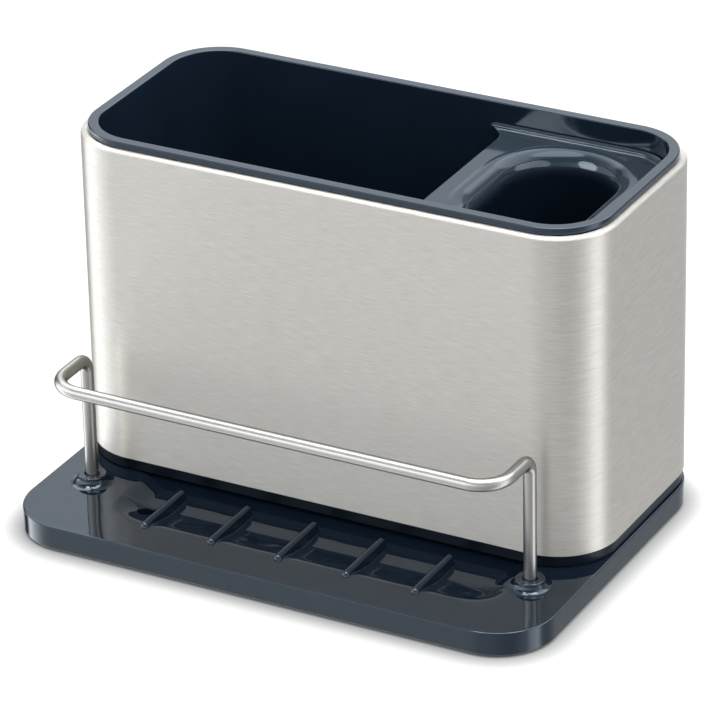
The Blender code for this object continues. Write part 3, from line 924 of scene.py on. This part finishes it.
def slate_plastic(name, colour, roughness, peel, index, dull=None, deep=None, waves=30.0):
    """Dark moulded plastic, a little uneven in gloss, with the faint ripple of a polished mould.

    peel is how strong the ripple is, and waves how many of them there are to the metre. dull is the centre
    and radius of an upright hole whose wall isn't polished. deep is a painted shade: a darker colour
    painted down inside a well, and the two heights between which it gives way to the other."""
    finish, tree, shader = new_material(name)
    cloud = noise(tree, (35.0, 35.0, 35.0), detail=3.0, roughness=0.55)
    darker, lighter = ([part * (1 + change) for part in colour] for change in (-CLOUD_TONE, CLOUD_TONE))
    tone = mottled(tree, cloud, darker, lighter)
    # Painted shade: a darker colour down inside a well, which fades out between two heights
    if deep:
        painted_shade_colour, low, high = deep
        axes = add_node(tree, "ShaderNodeSeparateXYZ", inputs={0: own_place(tree)}).outputs
        tone = blended(tree, eased(tree, axes["Z"], low, high), (*painted_shade_colour, 1.0), tone)
    if dull:
        centre, radius = dull
        level_place = vector_maths(tree, "MULTIPLY", own_place(tree), (1.0, 1.0, 0.0))["Vector"]
        away = vector_maths(tree, "DISTANCE", level_place, (*centre, 0.0))["Value"]
        outside = maths(tree, "GREATER_THAN", away, radius)
        feed(tree, shader, {"Specular IOR Level": maths(tree, "MULTIPLY", outside, POLISHED)})
    ripple = noise(tree, (waves, waves, waves), detail=1.0, roughness=0.5)
    feed(tree, shader, {
        "Base Color": tone,
        "Roughness": spread(tree, cloud, roughness * (1 - CLOUD_GLOSS), roughness * (1 + CLOUD_GLOSS)),
        "Normal": bumped(tree, ripple, peel, RIPPLE_HEIGHT),
        "IOR": index,
        "Specular Tint": PLASTIC_SHEEN,
    })
    return finish


def matt_rubber():
    finish, tree, shader = new_material("foot_rubber")
    grain = noise(tree, (700.0, 700.0, 700.0), detail=3.0, roughness=0.6)
    feed(tree, shader, {
        "Base Color": mottled(tree, grain, (0.01, 0.01, 0.011), (0.02, 0.02, 0.021)),
        "Normal": bumped(tree, grain, strength=0.3),
        "Roughness": 0.75,
    })
    return finish


# Pieces

def tray_piece(finish):
    """The moulded tray, as one closed body."""
    mesh = bmesh.new()
    layer = mesh.faces.layers.int.new("surface")
    radii = (TRAY_FRONT_RADIUS, TRAY_BACK_RADIUS)
    profile = filleted([
        (RECESS_WALL, recess_top, 0.0),
        (RECESS_WALL, tray_low.z, 0.0),
        (0.0, tray_low.z, TRAY_BOTTOM_EDGE),
        (0.0, tray_top, TRAY_TOP_EDGE),
        (TRAY_TOP_EDGE * 2, tray_top, 0.0),
    ])
    loft(mesh, stack(tray_plan, radii, profile))

    drain = circle(drain_centre, DRAIN_RADIUS, CORNER_STEPS)
    bores = [circle(centre, BORE_RADIUS) for centre in boss_centres]
    loops = [circle(drain_centre, DRAIN_RADIUS - inset, CORNER_STEPS) for inset in DRAIN_INSETS]
    boss_rings = [BORE_RADIUS + BOSS_EDGE * share for share in BORE_SHARES]
    boss_rings += [BOSS_RADIUS - BOSS_EDGE * share for share in BOSS_EDGE_SHARES]
    boss_rings += [BOSS_RADIUS + BOSS_FLARE * share for share in BOSS_FLARE_SHARES]
    for centre in boss_centres:
        loops += [circle(centre, radius) for radius in boss_rings]
    rib_radii = (RIB_WIDTH / 2, RIB_WIDTH / 2)
    for place in rib_places:
        for inset in RIB_INSETS:
            loops.append(spaced(rounded_box(rib_box(place), rib_radii, inset, RIB_END_STEPS), LINE_PITCH))
    island_radii = (SLEEVE_RADIUS - ISLAND_INSET, SLEEVE_RADIUS - ISLAND_INSET)
    loops += [rounded_box(island_plan, island_radii, inset) for inset in ISLAND_INSETS]
    outer = rounded_box(tray_plan, radii, TRAY_TOP_EDGE * 2)
    creases = []
    for place in (gutter_front, gutter_valley):
        for offset in CREASE_OFFSETS:
            creases.append([(gutter_left, place + offset), (gutter_right, place + offset)])
    height_field(mesh, layer, 1, tray_height, outer, [drain, *bores], loops, shelf_spots(), creases)

    under_loops = []
    for centre, radius, _ in under_posts:
        under_loops += [circle(centre, radius - inset) for inset in UNDER_POST_INSETS]
    ceiling = rounded_box(tray_plan, radii, RECESS_WALL)
    height_field(mesh, layer, 2, tray_underside, ceiling, [drain], under_loops, up=False)

    loft(mesh, [lifted(drain, tray_height), at_height(drain, recess_top)])
    for bore in bores:
        socket = loft(mesh, [lifted(bore, tray_height), at_height(bore, tray_low.z + SOCKET_FLOOR)])
        mesh.faces.new(socket[-1])
    surfaces = ((tray_height, True), (tray_underside, False))
    data = mesh_of("tray_moulding", mesh)
    return finished("tray_moulding", data, finish, "base", "base_tray", surfaces)


def shelf_spots():
    """An even grid over the open part of the shelf, clear of its raised features."""
    across = np.arange(tray_low.x, tray_high.x, GRID_PITCH)
    along = np.arange(tray_low.y, sleeve_low.y, GRID_PITCH)
    x, y = (axis.ravel() for axis in np.meshgrid(across, along))
    clear = depth_inside(x, y, tray_plan, TRAY_FRONT_RADIUS) > TRAY_TOP_EDGE * 4
    clear &= depth_inside(x, y, sleeve_plan, SLEEVE_RADIUS) < 0
    clear &= np.hypot(x - drain_centre[0], y - drain_centre[1]) > DRAIN_RADIUS + DRAIN_CLEARANCE
    boss_reach = BOSS_RADIUS + BOSS_FLARE + BOSS_CLEARANCE
    for centre in boss_centres:
        clear &= np.hypot(x - centre[0], y - centre[1]) > boss_reach
    for place in rib_places:
        clear &= depth_inside(x, y, rib_box(place), RIB_WIDTH / 2) < -RIB_CLEARANCE
    return list(zip(x[clear], y[clear]))


def sleeve_piece(finish):
    """The steel wall, with its top edge rolled inwards and turned down."""
    top = sleeve_high.z
    bottom = sleeve_low.z
    corners = [
        (0.0, bottom, SHEET_CUT_ROUND),
        (0.0, top, LIP_ROUND),
        (LIP_WIDTH, top, LIP_TURN_ROUND),
        (LIP_WIDTH, top - LIP_TURN_DOWN, 0.0),
        (LIP_WIDTH - SHEET, top - LIP_TURN_DOWN, 0.0),
        (LIP_WIDTH - SHEET, top - SHEET, LIP_TURN_ROUND - SHEET),
        (SHEET, top - SHEET, LIP_ROUND - SHEET),
        (SHEET, bottom, 0.0),
    ]
    data = wall_round_sleeve("sleeve_shell", corners, finish)
    return finished("sleeve_shell", data, finish, "sleeve", "steel_sleeve")


def ring_piece(finish):
    """The plastic ring inside the sleeve's foot."""
    outer = SHEET + SEAT_GAP
    low, high = tray_top + SEAT_GAP, ring_high.z
    ledge = ring_low.z + RING_LEDGE_HEIGHT
    corners = [
        (RING_LEDGE_INSET, low, RING_EDGE),
        (RING_LEDGE_INSET, ledge, RING_LEDGE_EDGE),
        (outer, ledge, 0.0),
        (outer, high, RING_EDGE),
        (outer + RING_THICKNESS, high, RING_INNER_EDGE),
        (outer + RING_THICKNESS, low, RING_EDGE),
    ]
    data = wall_round_sleeve("base_ring", corners, finish)
    return finished("base_ring", data, finish, "sleeve", "sleeve_base_ring")


def liner_piece(finish):
    """The plastic bin, whose flat rim rests on the steel lip."""
    mesh = bmesh.new()
    radii = (RIM_RADIUS, RIM_RADIUS)
    outer_foot = RIM_NECK + LINER_DRAFT
    inner_foot = RIM_WIDTH + LINER_DRAFT
    profile = filleted([
        (outer_foot + LINER_FLOOR_ROUND * FLOOR_MARGIN, liner_low.z, 0.0),
        (outer_foot, liner_low.z, LINER_FLOOR_ROUND),
        (RIM_NECK, rim_bottom, RIM_UNDER_EDGE),
        (0.0, rim_bottom, RIM_UNDER_EDGE),
        (0.0, liner_high.z, RIM_EDGE),
        (RIM_WIDTH, liner_high.z, RIM_EDGE),
        (inner_foot, liner_floor, LINER_FLOOR_ROUND),
        (inner_foot + LINER_FLOOR_ROUND * FLOOR_MARGIN, liner_floor, 0.0),
    ])
    loops = loft(mesh, stack(rim_plan, radii, profile))
    mesh.faces.new(list(reversed(loops[0])))
    mesh.faces.new(loops[-1])
    data = mesh_of("liner_moulding", mesh)
    return finished("liner_moulding", data, finish, "liner", "caddy_liner")


def cup_piece(finish):
    """The brush cup: a ledge with an upstand and ears, a raised collar and a deep round-ended well."""
    mesh = bmesh.new()
    layer = mesh.faces.layers.int.new("surface")
    radii = (CUP_MOUTH_RADIUS, CUP_MOUTH_RADIUS)
    edge = spaced(cup_edge_points(), LINE_PITCH)
    spots = cup_spots()
    hole = rounded_box(mouth_plan, radii, CUP_MOUTH_ROUND * MOUTH_END)
    loops = [rounded_box(mouth_plan, radii, CUP_MOUTH_ROUND * share) for share in MOUTH_SHARES]
    upstand = [upstand_line(inset) for inset in upstand_insets()]
    height_field(mesh, layer, 1, cup_height, edge, [hole], loops, spots, upstand)

    well_inset = CUP_MOUTH_ROUND - CUP_WALL
    well = rounded_box(mouth_plan, radii, well_inset)
    under_spots = [(x, y) for x, y in spots if x < cup_left]
    height_field(mesh, layer, 2, cup_underside, edge, [well], (), under_spots, up=False)
    loft(mesh, [lifted(edge, cup_underside), lifted(edge, cup_height)])

    floor = cup_low.z
    inner = filleted([
        (CUP_MOUTH_ROUND, collar_top - CUP_MOUTH_FALL, 0.0),
        (CUP_MOUTH_ROUND, floor + CUP_WALL, CUP_FLOOR_ROUND),
        (CUP_MOUTH_ROUND + CUP_FLOOR_ROUND * FLOOR_MARGIN, floor + CUP_WALL, 0.0),
    ])
    loops = loft(mesh, [lifted(hole, cup_height)] + stack(mouth_plan, radii, inner))
    mesh.faces.new(loops[-1])
    outer = filleted([
        (well_inset + CUP_FLOOR_ROUND * FLOOR_MARGIN, floor, 0.0),
        (well_inset, floor, CUP_FLOOR_ROUND),
        (well_inset, cup_under, 0.0),
    ])
    loops = loft(mesh, stack(mouth_plan, radii, outer))
    mesh.faces.new(list(reversed(loops[0])))
    surfaces = ((cup_height, True), (cup_underside, False))
    data = mesh_of("cup_moulding", mesh)
    return finished("cup_moulding", data, finish, "cup", "brush_cup", surfaces)


def upstand_insets():
    """Distances in from the cup's outer edge at which the upstand turns."""
    wall = CUP_UPSTAND_THICKNESS
    rounds = [CUP_EDGE * share for share in UPSTAND_EDGE_SHARES]
    chamfer = [CUP_CHAMFER - CREASE, CUP_CHAMFER + CREASE]
    inner = [wall - inset for inset in rounds] + [wall, wall - UPSTAND_FOOT_STEP]
    return rounds + chamfer + inner + [wall + CUP_FILLET * share for share in UPSTAND_FOOT_SHARES]


def upstand_line(inset):
    """A line along the upstand, from one ear to the other.

    The outline is spaced as a closed one, and the points of its closing side are cut off."""
    low_x = cup_low.x + CUP_EDGE / 8
    turns = rounded_box(cup_plan, (CUP_CORNER_RADIUS, CUP_CORNER_RADIUS), inset)
    bends = turns[CORNER_STEPS + 1:3 * (CORNER_STEPS + 1)]
    ends = [(low_x, bends[0][1]), *bends, (low_x, bends[-1][1])]
    closing_points = round((ends[-1][1] - ends[0][1]) / LINE_PITCH)
    return spaced(ends, LINE_PITCH)[:-closing_points]


def cup_spots():
    """Points over the collar and an even grid over the rest of the ledge."""
    spots = []
    radii = (CUP_MOUTH_RADIUS, CUP_MOUTH_RADIUS)
    for share in COLLAR_SHARES:
        inset = CUP_COLLAR_SLOPE * share - CUP_COLLAR_WIDTH
        spots += spaced(rounded_box(mouth_plan, radii, inset), COLLAR_PITCH)
    across = np.arange(cup_low.x, cup_high.x, GRID_PITCH / 2)
    along = np.arange(cup_low.y, cup_high.y, GRID_PITCH / 2)
    x, y = (axis.ravel() for axis in np.meshgrid(across, along))
    clear = mouth_depth(x, y) < -CUP_COLLAR_WIDTH - COLLAR_CLEARANCE
    spots = np.concatenate([spots, np.stack([x[clear], y[clear]], axis=1)])
    x, y = spots[:, 0], spots[:, 1]
    clear = depth_inside(x, y, cup_plan, CUP_CORNER_RADIUS) > CUP_UPSTAND_THICKNESS + CUP_FILLET
    clear &= distance_to(x, y, left_edge_points()) > CUP_EDGE
    kept = spots[clear & points_inside(spots, cup_edge_points())]
    return [tuple(spot) for spot in kept]


def bend(corner, before, after, radius):
    """Points round a square bend, from the direction before it to the direction after it."""
    points = []
    for step in range(BEND_STEPS + 1):
        turn = math.pi / 2 * step / BEND_STEPS
        back = radius * (1 - math.sin(turn))
        ahead = radius * (1 - math.cos(turn))
        points.append(tuple(c - b * back + a * ahead for c, b, a in zip(corner, before, after)))
    return points


def wire_piece(finish):
    """The rail: one wire from the left post's foot to the right post's foot."""
    half = [(-post_x, post_y, wire_low.z)]
    half += bend((-post_x, post_y, rail_z), (0, 0, 1), (0, -1, 0), TOP_BEND_RADIUS)
    half += bend((-post_x, rail_y, rail_z), (0, -1, 0), (1, 0, 0), PLAN_BEND_RADIUS)
    route = half + [(-x, y, z) for x, y, z in reversed(half)]
    values = {"Path": line_object("rail_path", route, False), "Material": finish}
    data = grown("rail_wire", wire_tree(), values)
    return finished("rail_wire", data, finish, "rail", "wire_rail")


# Studio

def studio_camera():
    """The photograph's viewpoint, worked out for a square frame."""
    data = bpy.data.cameras.new("studio_camera")
    data.sensor_fit = "HORIZONTAL"
    data.sensor_width = SENSOR_WIDTH
    data.lens = LENS
    data.clip_start = CLIP_START
    camera = linked("studio_camera", data)
    turned = Matrix((CAMERA_RIGHT, CAMERA_UP, -CAMERA_FORWARD)).transposed().to_4x4()
    camera.matrix_world = Matrix.Translation(CAMERA_PLACE) @ turned
    bpy.context.scene.camera = camera


def room_colour(level, tint):
    return (*(level * part / ROOM_PEAK for part in tint), 1.0)


def mixed(tree, share, first, second):
    """A shader that gives way to another, by a share from 0 to 1."""
    return add_node(tree, "ShaderNodeMixShader", inputs={0: share, 1: first, 2: second}).outputs[0]


def level_ramp(tree, share, levels, tint):
    """A tinted level by bearing, from (degrees, level) pairs."""
    ramp = tree.nodes.new("ShaderNodeValToRGB")
    ramp.color_ramp.interpolation = "LINEAR"
    stops = ramp.color_ramp.elements
    for index, (degrees, level) in enumerate(levels):
        position = (degrees + 180) / 360
        stop = stops[index] if index < 2 else stops.new(position)
        stop.position = position
        stop.color = room_colour(level, tint)
    tree.links.new(share, ramp.inputs[0])
    return ramp.outputs[0]


def studio_world():
    """White for the camera. Reflections see a pale room that is brighter at some bearings than others."""
    world = bpy.data.worlds.new("studio")
    world.use_nodes = True
    bpy.context.scene.world = world
    tree = world.node_tree
    shown = tree.nodes["Background"]
    feed(tree, shown, {"Color": WHITE, "Strength": 1.0})
    direction = add_node(tree, "ShaderNodeTexCoord").outputs["Generated"]
    axes = add_node(tree, "ShaderNodeSeparateXYZ", inputs={0: direction}).outputs
    bearing = maths(tree, "ARCTAN2", axes["X"], maths(tree, "MULTIPLY", axes["Y"], -1.0))
    share = ranged(tree, bearing, (-math.pi, math.pi), 0.0, 1.0)
    levels = [level_ramp(tree, share, ROOM_BELOW, FLOOR_TINT)]
    levels += [level_ramp(tree, share, ramp, ROOM_TINT) for ramp in (ROOM_ABOVE, ROOM_HIGH)]
    levels.append(room_colour(TOP_LEVEL, ROOM_TINT))
    seen_room = levels[0]
    for (low, high), level in zip((ROOM_HORIZON, ROOM_CEILING, ROOM_TOP), levels[1:]):
        seen_room = blended(tree, eased(tree, axes["Z"], low, high), seen_room, level)
    room = add_node(tree, "ShaderNodeBackground", inputs={"Color": seen_room, "Strength": ROOM_PEAK})
    even = add_node(tree, "ShaderNodeBackground", inputs={"Color": WHITE, "Strength": ROOM_FILL})
    path = add_node(tree, "ShaderNodeLightPath").outputs
    lit = mixed(tree, path["Is Glossy Ray"], even.outputs[0], room.outputs[0])
    seen = maths(tree, "MAXIMUM", path["Is Camera Ray"], path["Is Transmission Ray"])
    feed(tree, tree.nodes["World Output"], {"Surface": mixed(tree, seen, lit, shown.outputs[0])})


def area_lamp(name, shape, size, radiance):
    """A flat lamp, which the camera doesn't see. Its radiance is worked out as a rectangle's."""
    data = bpy.data.lights.new(name, "AREA")
    data.shape = shape
    data.size, data.size_y = size
    data.energy = radiance * math.pi * size[0] * size[1]
    lamp = linked(name, data)
    lamp.visible_camera = False
    return lamp


def softbox(name, shape, bearing, rise, distance, size, radiance):
    """A lamp that faces the object, at a bearing from straight ahead of the front."""
    lamp = area_lamp(name, shape, size, radiance)
    turn, lift = math.radians(bearing), math.radians(rise)
    away = Vector((math.sin(turn) * math.cos(lift), -math.cos(turn) * math.cos(lift), math.sin(lift)))
    lamp.location = away * distance + Vector((0.0, 0.0, AIM_HEIGHT))
    lamp.rotation_euler = (-away).to_track_quat("-Z", "Y").to_euler()
    return lamp


def only_highlight(lamp, receiver):
    """Makes a lamp show only as a highlight, and only in one piece."""
    lamp.visible_diffuse = False
    lit = bpy.data.collections.new(lamp.name)
    lit.objects.link(receiver)
    lamp.light_linking.receiver_collection = lit


def light_card(receiver, place, turn, width, radiance):
    """A narrow upright card of light beside a rail post, from the boss to the rail.

    At turn 0 it faces backwards, and it turns anticlockwise as seen from above."""
    lamp = area_lamp("light_card", "RECTANGLE", (width, rail_z - boss_top), radiance)
    lamp.location = (*place, (boss_top + rail_z) / 2)
    lamp.rotation_euler = (math.radians(90), 0.0, math.radians(turn))
    only_highlight(lamp, receiver)


def studio_floor():
    """A pale floor that keeps the object's shadow and is white to the camera elsewhere."""
    finish, tree, shader = new_material("pale_floor")
    grey = (FLOOR_ALBEDO, FLOOR_ALBEDO, FLOOR_ALBEDO, 1.0)
    feed(tree, shader, {"Base Color": grey, "Roughness": FLOOR_ROUGHNESS, "Specular IOR Level": 0.0})
    settings = {"samples": CONTACT_SAMPLES}
    near = add_node(tree, "ShaderNodeAmbientOcclusion", settings, {"Distance": CONTACT_REACH})
    contact = maths(tree, "POWER", near.outputs["AO"], CONTACT_DEPTH)
    strength = maths(tree, "MULTIPLY", contact, FLOOR_GLOW)
    glow = add_node(tree, "ShaderNodeEmission", inputs={"Color": WHITE, "Strength": strength})
    glowing = add_node(tree, "ShaderNodeAddShader", inputs={0: shader.outputs[0], 1: glow.outputs[0]})
    path = add_node(tree, "ShaderNodeLightPath").outputs
    shown = mixed(tree, path["Is Camera Ray"], shader.outputs[0], glowing.outputs[0])
    feed(tree, tree.nodes["Material Output"], {"Surface": shown})
    mesh = bmesh.new()
    bmesh.ops.create_grid(mesh, x_segments=1, y_segments=1, size=FLOOR_SIZE)
    data = bpy.data.meshes.new("studio_floor")
    mesh.to_mesh(data)
    mesh.free()
    data.materials.append(finish)
    floor = linked("studio_floor", data)
    floor.visible_glossy = False


# The materials
walls = wall_tree()
steel = brushed_steel()
wire_steel = satin_wire()
drain_wall = (drain_centre, DRAIN_RADIUS * DRAIN_DULL_REACH)
tray_plastic = slate_plastic(
    "tray_plastic", (0.0085, 0.0165, 0.0315), 0.05, peel=0.22, index=1.62, dull=drain_wall, waves=95.0
)
liner_plastic = slate_plastic("liner_plastic", (0.0125, 0.024, 0.043), 0.13, peel=0.2, index=1.6)
# Painted shade for the cup's well: its plastic is painted darker below the collar
painted_well_shade = ((0.0075, 0.0135, 0.0255), *(collar_top - depth for depth in PAINTED_SHADE_DEPTHS))
cup_plastic = slate_plastic(
    "cup_plastic", (0.035, 0.054, 0.079), 0.09, peel=0.2, index=1.37, deep=painted_well_shade
)
ring_plastic = slate_plastic("ring_plastic", (0.004, 0.0075, 0.013), 0.3, peel=0.05, index=1.36)
rubber = matt_rubber()

# The pieces
tray = tray_piece(tray_plastic)
sleeve = sleeve_piece(steel)
ring_piece(ring_plastic)
liner_piece(liner_plastic)
cup = cup_piece(cup_plastic)
rail = wire_piece(wire_steel)
for name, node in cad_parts.items():
    if name.startswith("foot_"):
        node.data.materials.clear()
        node.data.materials.append(rubber)

# The studio
studio_camera()
studio_world()
studio_floor()
overhead = softbox("overhead_softbox", "RECTANGLE", 85, 50, OVERHEAD_DISTANCE, (1.2, 1.2), 1.65)
overhead.visible_glossy = False

# The highlights, as receiver, bearing, rise, size and radiance
for receiver, bearing, rise, size, radiance in (
    (cup, -34, 27, (1.0, 1.3), 8.5),
    (cup, 80, 27, (2.0, 1.3), 2.9),
    (tray, -25, 62, (0.45, 0.4), 9.0),
    (tray, 75, 62, (0.6, 0.4), 6.0),
    (rail, -28, 50, (3.0, 1.9), 0.19),
    (sleeve, -129, 58, (1.1, 1.1), 6.0),
):
    name = receiver.name + "_softbox"
    only_highlight(softbox(name, "ELLIPSE", bearing, rise, HIGHLIGHT_DISTANCE, size, radiance), receiver)

# A card behind the left post, so that the steel doesn't mirror its dark back, and one beside it
left_x, left_y = boss_centres[0]
light_card(sleeve, (left_x, left_y + BACK_CARD_AWAY), 0, BACK_CARD_WIDTH, 1.1)
light_card(rail, (left_x + SIDE_CARD_AWAY, left_y - SIDE_CARD_AHEAD), 90, SIDE_CARD_WIDTH, 0.6)

scene = bpy.context.scene
scene.view_settings.view_transform = "Standard"
